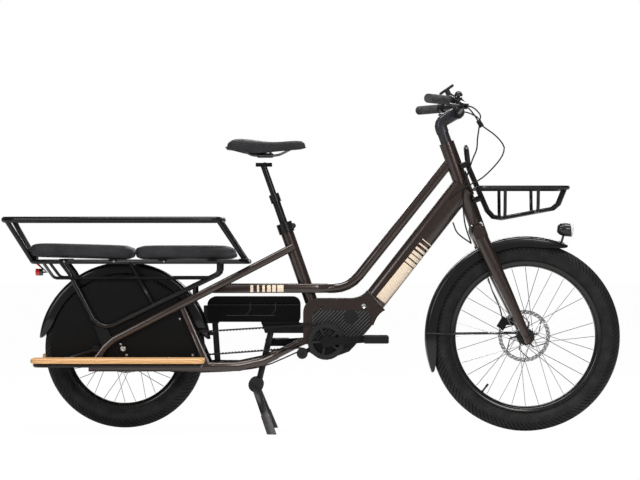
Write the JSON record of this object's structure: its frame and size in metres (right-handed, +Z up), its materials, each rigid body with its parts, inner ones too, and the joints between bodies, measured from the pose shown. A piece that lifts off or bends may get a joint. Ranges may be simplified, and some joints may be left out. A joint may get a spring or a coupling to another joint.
{
  "type": "longtail cargo bike",
  "caption": "Longtail cargo bike with a padded passenger rack, grab rail, running boards, front basket, mid motor, toothed belt drive, disc brakes and a double-leg stand.",
  "frame": {"origin": "middle of the overall box, at the floor", "axes": "+X is forwards, +Y is to the rider's left, +Z is up"},
  "size_m": [2.11, 0.7098, 1.1869],
  "materials": {
    "frame_paint": "semi-gloss",
    "black_metal": "satin",
    "steel": "brushed",
    "rubber": "matte",
    "tyre": "matte",
    "black_plastic": "matte",
    "gloss_black": "gloss",
    "wood": "oiled",
    "cover": "grained",
    "red_lens": "gloss"
  },
  "bodies": {
    "frame": {"head_and_down_tube": "frame_paint", "top_tube_and_mid_stays": "frame_paint", "motor_cradle_and_seat_tube": "frame_paint", "upper_stay_right": "frame_paint", "upper_stay_left": "frame_paint", "lower_rail_right": "frame_paint", "lower_rail_left": "frame_paint", "rack_deck": "black_metal", "hand_rail": "black_metal", "cushion_front": "cover", "cushion_rear": "cover", "rack_side_right": "black_metal", "rack_side_left": "black_metal", "board_frame_right": "black_metal", "board_frame_left": "black_metal", "running_board_right": "wood", "running_board_left": "wood", "motor": "black_plastic", "belt": "rubber", "rear_mudguard": "gloss_black", "wheel_panel_right": "gloss_black", "wheel_panel_left": "gloss_black", "basket": "black_metal", "rear_light": "red_lens", "rear_brake": "black_metal", "seat_clamp": "black_metal", "stand_post": "black_metal", "rear_bracket": "black_metal"},
    "steering": {"fork": "frame_paint", "stem": "black_metal", "handlebar": "black_metal", "grip_right": "rubber", "grip_left": "rubber", "display": "black_plastic", "front_mudguard": "gloss_black", "headlight": "black_plastic", "front_brake": "black_metal", "cable_bundle": "black_plastic"},
    "front_wheel": {"front_tyre": "tyre", "front_rim": "black_metal", "front_hub": "black_metal", "front_rotor": "steel"},
    "rear_wheel": {"rear_tyre": "tyre", "rear_rim": "black_metal", "rear_hub": "black_metal", "rear_rotor": "steel"},
    "cranks": {"front_sprocket": "black_metal", "crank_right": "black_metal", "crank_left": "black_metal"},
    "pedal_right": {"pedal_right": "black_plastic"},
    "pedal_left": {"pedal_left": "black_plastic"},
    "rear_sprocket": {"rear_sprocket": "black_metal"},
    "idler_pulley": {"idler_pulley": "black_metal"},
    "kickstand": {"kickstand": "black_metal"},
    "battery": {"battery": "gloss_black"},
    "seatpost_outer": {"seatpost_outer": "black_metal"},
    "seatpost_inner": {"seatpost_inner": "black_metal", "saddle": "cover"},
    "brake_lever_right": {"brake_lever_right": "black_metal"},
    "brake_lever_left": {"brake_lever_left": "black_metal"}
  },
  "joints": [
    {"name": "steering_turn", "type": "hinge", "parent": "frame", "child": "steering", "pos_m": [0.70563, 0, 0.31477], "axis": [-0.342, 0, 0.9397], "range_deg": [-60, 60], "deforming": ["cable_bundle"]},
    {"name": "front_wheel_spin", "type": "hinge", "parent": "steering", "child": "front_wheel", "pos_m": [0.731, 0, 0.324], "axis": [0, 1, 0], "continuous": true},
    {"name": "rear_wheel_spin", "type": "hinge", "parent": "frame", "child": "rear_wheel", "pos_m": [-0.64, 0, 0.285], "axis": [0, 1, 0], "continuous": true},
    {"name": "crank_spin", "type": "hinge", "parent": "frame", "child": "cranks", "pos_m": [0.048, 0, 0.3095], "axis": [0, 1, 0], "continuous": true},
    {"name": "pedal_right_spin", "type": "hinge", "parent": "cranks", "child": "pedal_right", "pos_m": [0.21617, -0.148, 0.32008], "axis": [0, 1, 0], "continuous": true},
    {"name": "pedal_left_spin", "type": "hinge", "parent": "cranks", "child": "pedal_left", "pos_m": [-0.12017, 0.148, 0.29892], "axis": [0, 1, 0], "continuous": true},
    {"name": "rear_sprocket_spin", "type": "hinge", "parent": "frame", "child": "rear_sprocket", "pos_m": [-0.64, -0.06, 0.285], "axis": [0, 1, 0], "continuous": true},
    {"name": "idler_spin", "type": "hinge", "parent": "frame", "child": "idler_pulley", "pos_m": [-0.033, -0.06, 0.268], "axis": [0, 1, 0], "continuous": true},
    {"name": "kickstand_fold", "type": "hinge", "parent": "frame", "child": "kickstand", "pos_m": [-0.191, 0, 0.16], "axis": [0, 1, 0], "range_deg": [0, 105]},
    {"name": "battery_slide", "type": "slide", "parent": "frame", "child": "battery", "axis": [0, 1, 0], "range_m": [0, 0.11]},
    {"name": "seatpost_lower_slide", "type": "slide", "parent": "frame", "child": "seatpost_outer", "axis": [-0.3322, 0, 0.9432], "range_m": [-0.055, 0.06]},
    {"name": "seatpost_upper_slide", "type": "slide", "parent": "seatpost_outer", "child": "seatpost_inner", "axis": [-0.3322, 0, 0.9432], "range_m": [-0.085, 0]},
    {"name": "brake_lever_right_pull", "type": "hinge", "parent": "steering", "child": "brake_lever_right", "pos_m": [0.50178, -0.22936, 1.10221], "axis": [-0.3167, 0.2001, -0.9272], "range_deg": [0, 15], "stiffness_Nm_per_rad": 1.2, "springref_deg": -14.32},
    {"name": "brake_lever_left_pull", "type": "hinge", "parent": "steering", "child": "brake_lever_left", "pos_m": [0.50178, 0.22936, 1.10221], "axis": [0.3167, 0.2001, 0.9272], "range_deg": [0, 15], "stiffness_Nm_per_rad": 1.2, "springref_deg": -14.32}
  ],
  "couplings": [
    {"joint": "rear_sprocket_spin", "follows": "crank_spin", "ratio": 1.4167},
    {"joint": "idler_spin", "follows": "crank_spin", "ratio": -3.0525}
  ]
}
